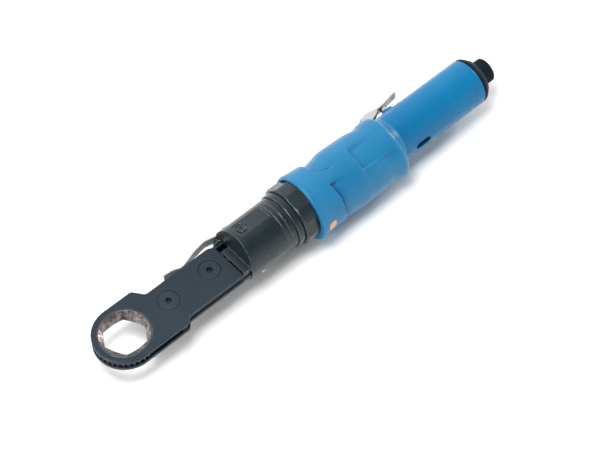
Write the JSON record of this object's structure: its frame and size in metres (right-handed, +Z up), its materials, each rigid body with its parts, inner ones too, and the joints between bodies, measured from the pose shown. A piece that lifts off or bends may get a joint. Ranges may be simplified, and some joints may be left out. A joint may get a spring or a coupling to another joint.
{
  "type": "air ratchet",
  "caption": "Straight air ratchet with a flat closed head, a through-hole hex ring, a leaf spring, a round gear case, a moulded grip and a thumb throttle.",
  "frame": {"origin": "centre of the hex ring, half-way through the head's thickness", "axes": "+X along the tool from the ring to the air inlet, +Z up through the ring, +Y towards the throttle lever and leaf spring"},
  "size_m": [0.3418, 0.053, 0.0492],
  "materials": {
    "blued_plate": "satin blue-grey black coating",
    "black_oxide": "semi-gloss black oxide",
    "worn_steel": "worn brown-grey hardened steel",
    "spring_steel": "satin spring steel",
    "bright_steel": "bright stamped steel",
    "bearing_steel": "ground steel",
    "phenolic": "brown laminate",
    "grip_blue": "satin moulded blue",
    "tube_blue": "semi-gloss blue",
    "black_cap": "near-black satin",
    "brass_part": "machined brass",
    "alloy": "machined alloy",
    "felt": "grey felt",
    "rubber_seal": "black rubber"
  },
  "bodies": {
    "housing": {"top_plate": "blued_plate", "bottom_plate": "blued_plate", "head_frame": "blued_plate", "head_screws": "black_oxide", "head_nuts": "black_oxide", "pivot_bushes": "bearing_steel", "leaf_screw": "black_oxide", "gear_case": "black_oxide", "case_screw": "black_oxide", "grease_fitting": "bright_steel", "needle_bearing": "bearing_steel", "ring_gear": "bearing_steel", "lock_ring": "black_oxide", "coupling_nut": "black_oxide", "motor_housing": "bearing_steel", "front_end_plate": "bearing_steel", "rear_end_plate": "bearing_steel", "front_rotor_bearing": "bearing_steel", "rear_rotor_bearing": "bearing_steel", "motor_cylinder": "bearing_steel", "grip_sleeve": "grip_blue", "handle_tube": "tube_blue", "lever_pin": "bright_steel", "valve_body": "alloy", "valve_bushing": "brass_part", "valve_spring": "spring_steel", "air_tube": "alloy", "exhaust_silencer": "felt", "end_cap": "black_cap", "inlet_bushing": "black_cap", "inlet_strainer": "brass_part", "cap_o_ring": "rubber_seal"},
    "ring": {"ratchet_ring": "worn_steel"},
    "hold_pawl": {"holding_pawl": "worn_steel"},
    "leaf": {"leaf_spring": "spring_steel"},
    "rocker": {"drive_rocker": "worn_steel", "drive_pawl_pin": "bright_steel"},
    "push_pawl": {"drive_pawl": "worn_steel"},
    "crank": {"crankshaft": "bearing_steel", "planet_pins": "bright_steel"},
    "roller": {"crank_bush": "bearing_steel"},
    "planet_1": {"planet_gear_1": "bearing_steel"},
    "planet_2": {"planet_gear_2": "bearing_steel"},
    "planet_3": {"planet_gear_3": "bearing_steel"},
    "motor": {"rotor": "bearing_steel", "rotor_vanes": "phenolic", "sun_gear": "bearing_steel"},
    "lever": {"throttle_lever": "bright_steel"},
    "valve": {"valve_stem": "bright_steel"}
  },
  "joints": [
    {"name": "ring_spin", "type": "hinge", "parent": "housing", "child": "ring", "pos_m": [0, 0, 0], "axis": [0, 0, 1], "continuous": true},
    {"name": "hold_pawl_click", "type": "hinge", "parent": "housing", "child": "hold_pawl", "pos_m": [0.0362, 0, 0], "axis": [0, 0, 1], "range_deg": [0, 4], "stiffness_Nm_per_rad": 0.06, "springref_deg": -5.73},
    {"name": "leaf_flex", "type": "hinge", "parent": "housing", "child": "leaf", "pos_m": [0.1, 0.0179, 0], "axis": [0, 0, 1], "range_deg": [-2.5, 0]},
    {"name": "rocker_swing", "type": "hinge", "parent": "housing", "child": "rocker", "pos_m": [0.0707, 0, 0], "axis": [0, 0, 1], "range_deg": [-5, 0]},
    {"name": "push_pawl_lift", "type": "hinge", "parent": "rocker", "child": "push_pawl", "pos_m": [0.023, 0.0085, 0], "axis": [0, 0, 1], "range_deg": [0, 17]},
    {"name": "crank_spin", "type": "hinge", "parent": "housing", "child": "crank", "pos_m": [0.1, 0, 0], "axis": [1, 0, 0], "continuous": true},
    {"name": "roller_spin", "type": "hinge", "parent": "crank", "child": "roller", "pos_m": [0.089, 0.0008, 0], "axis": [1, 0, 0], "continuous": true},
    {"name": "planet_1_spin", "type": "hinge", "parent": "crank", "child": "planet_1", "pos_m": [0.121, 0.00945, 0], "axis": [1, 0, 0], "continuous": true},
    {"name": "planet_2_spin", "type": "hinge", "parent": "crank", "child": "planet_2", "pos_m": [0.121, -0.00473, 0.00818], "axis": [1, 0, 0], "continuous": true},
    {"name": "planet_3_spin", "type": "hinge", "parent": "crank", "child": "planet_3", "pos_m": [0.121, -0.00473, -0.00818], "axis": [1, 0, 0], "continuous": true},
    {"name": "rotor_spin", "type": "hinge", "parent": "housing", "child": "motor", "pos_m": [0.17, 0, 0], "axis": [1, 0, 0], "continuous": true},
    {"name": "lever_press", "type": "hinge", "parent": "housing", "child": "lever", "pos_m": [0.2295, 0.0214, 0], "axis": [0, 0, -1], "range_deg": [0, 6.5], "stiffness_Nm_per_rad": 1.2, "springref_deg": -5.73},
    {"name": "valve_travel", "type": "slide", "parent": "housing", "child": "valve", "axis": [0, -1, 0], "range_m": [0, 0.0019], "deforming": ["valve_spring"]}
  ],
  "couplings": [
    {"joint": "leaf_flex", "follows": "hold_pawl_click", "ratio": -0.57},
    {"joint": "push_pawl_lift", "follows": "rocker_swing", "ratio": -3.2},
    {"joint": "crank_spin", "follows": "rotor_spin", "ratio": 0.22222},
    {"joint": "planet_1_spin", "follows": "rotor_spin", "ratio": -0.62222},
    {"joint": "planet_2_spin", "follows": "rotor_spin", "ratio": -0.62222},
    {"joint": "planet_3_spin", "follows": "rotor_spin", "ratio": -0.62222},
    {"joint": "valve_travel", "follows": "lever_press", "m_per_rad": 0.0152}
  ]
}
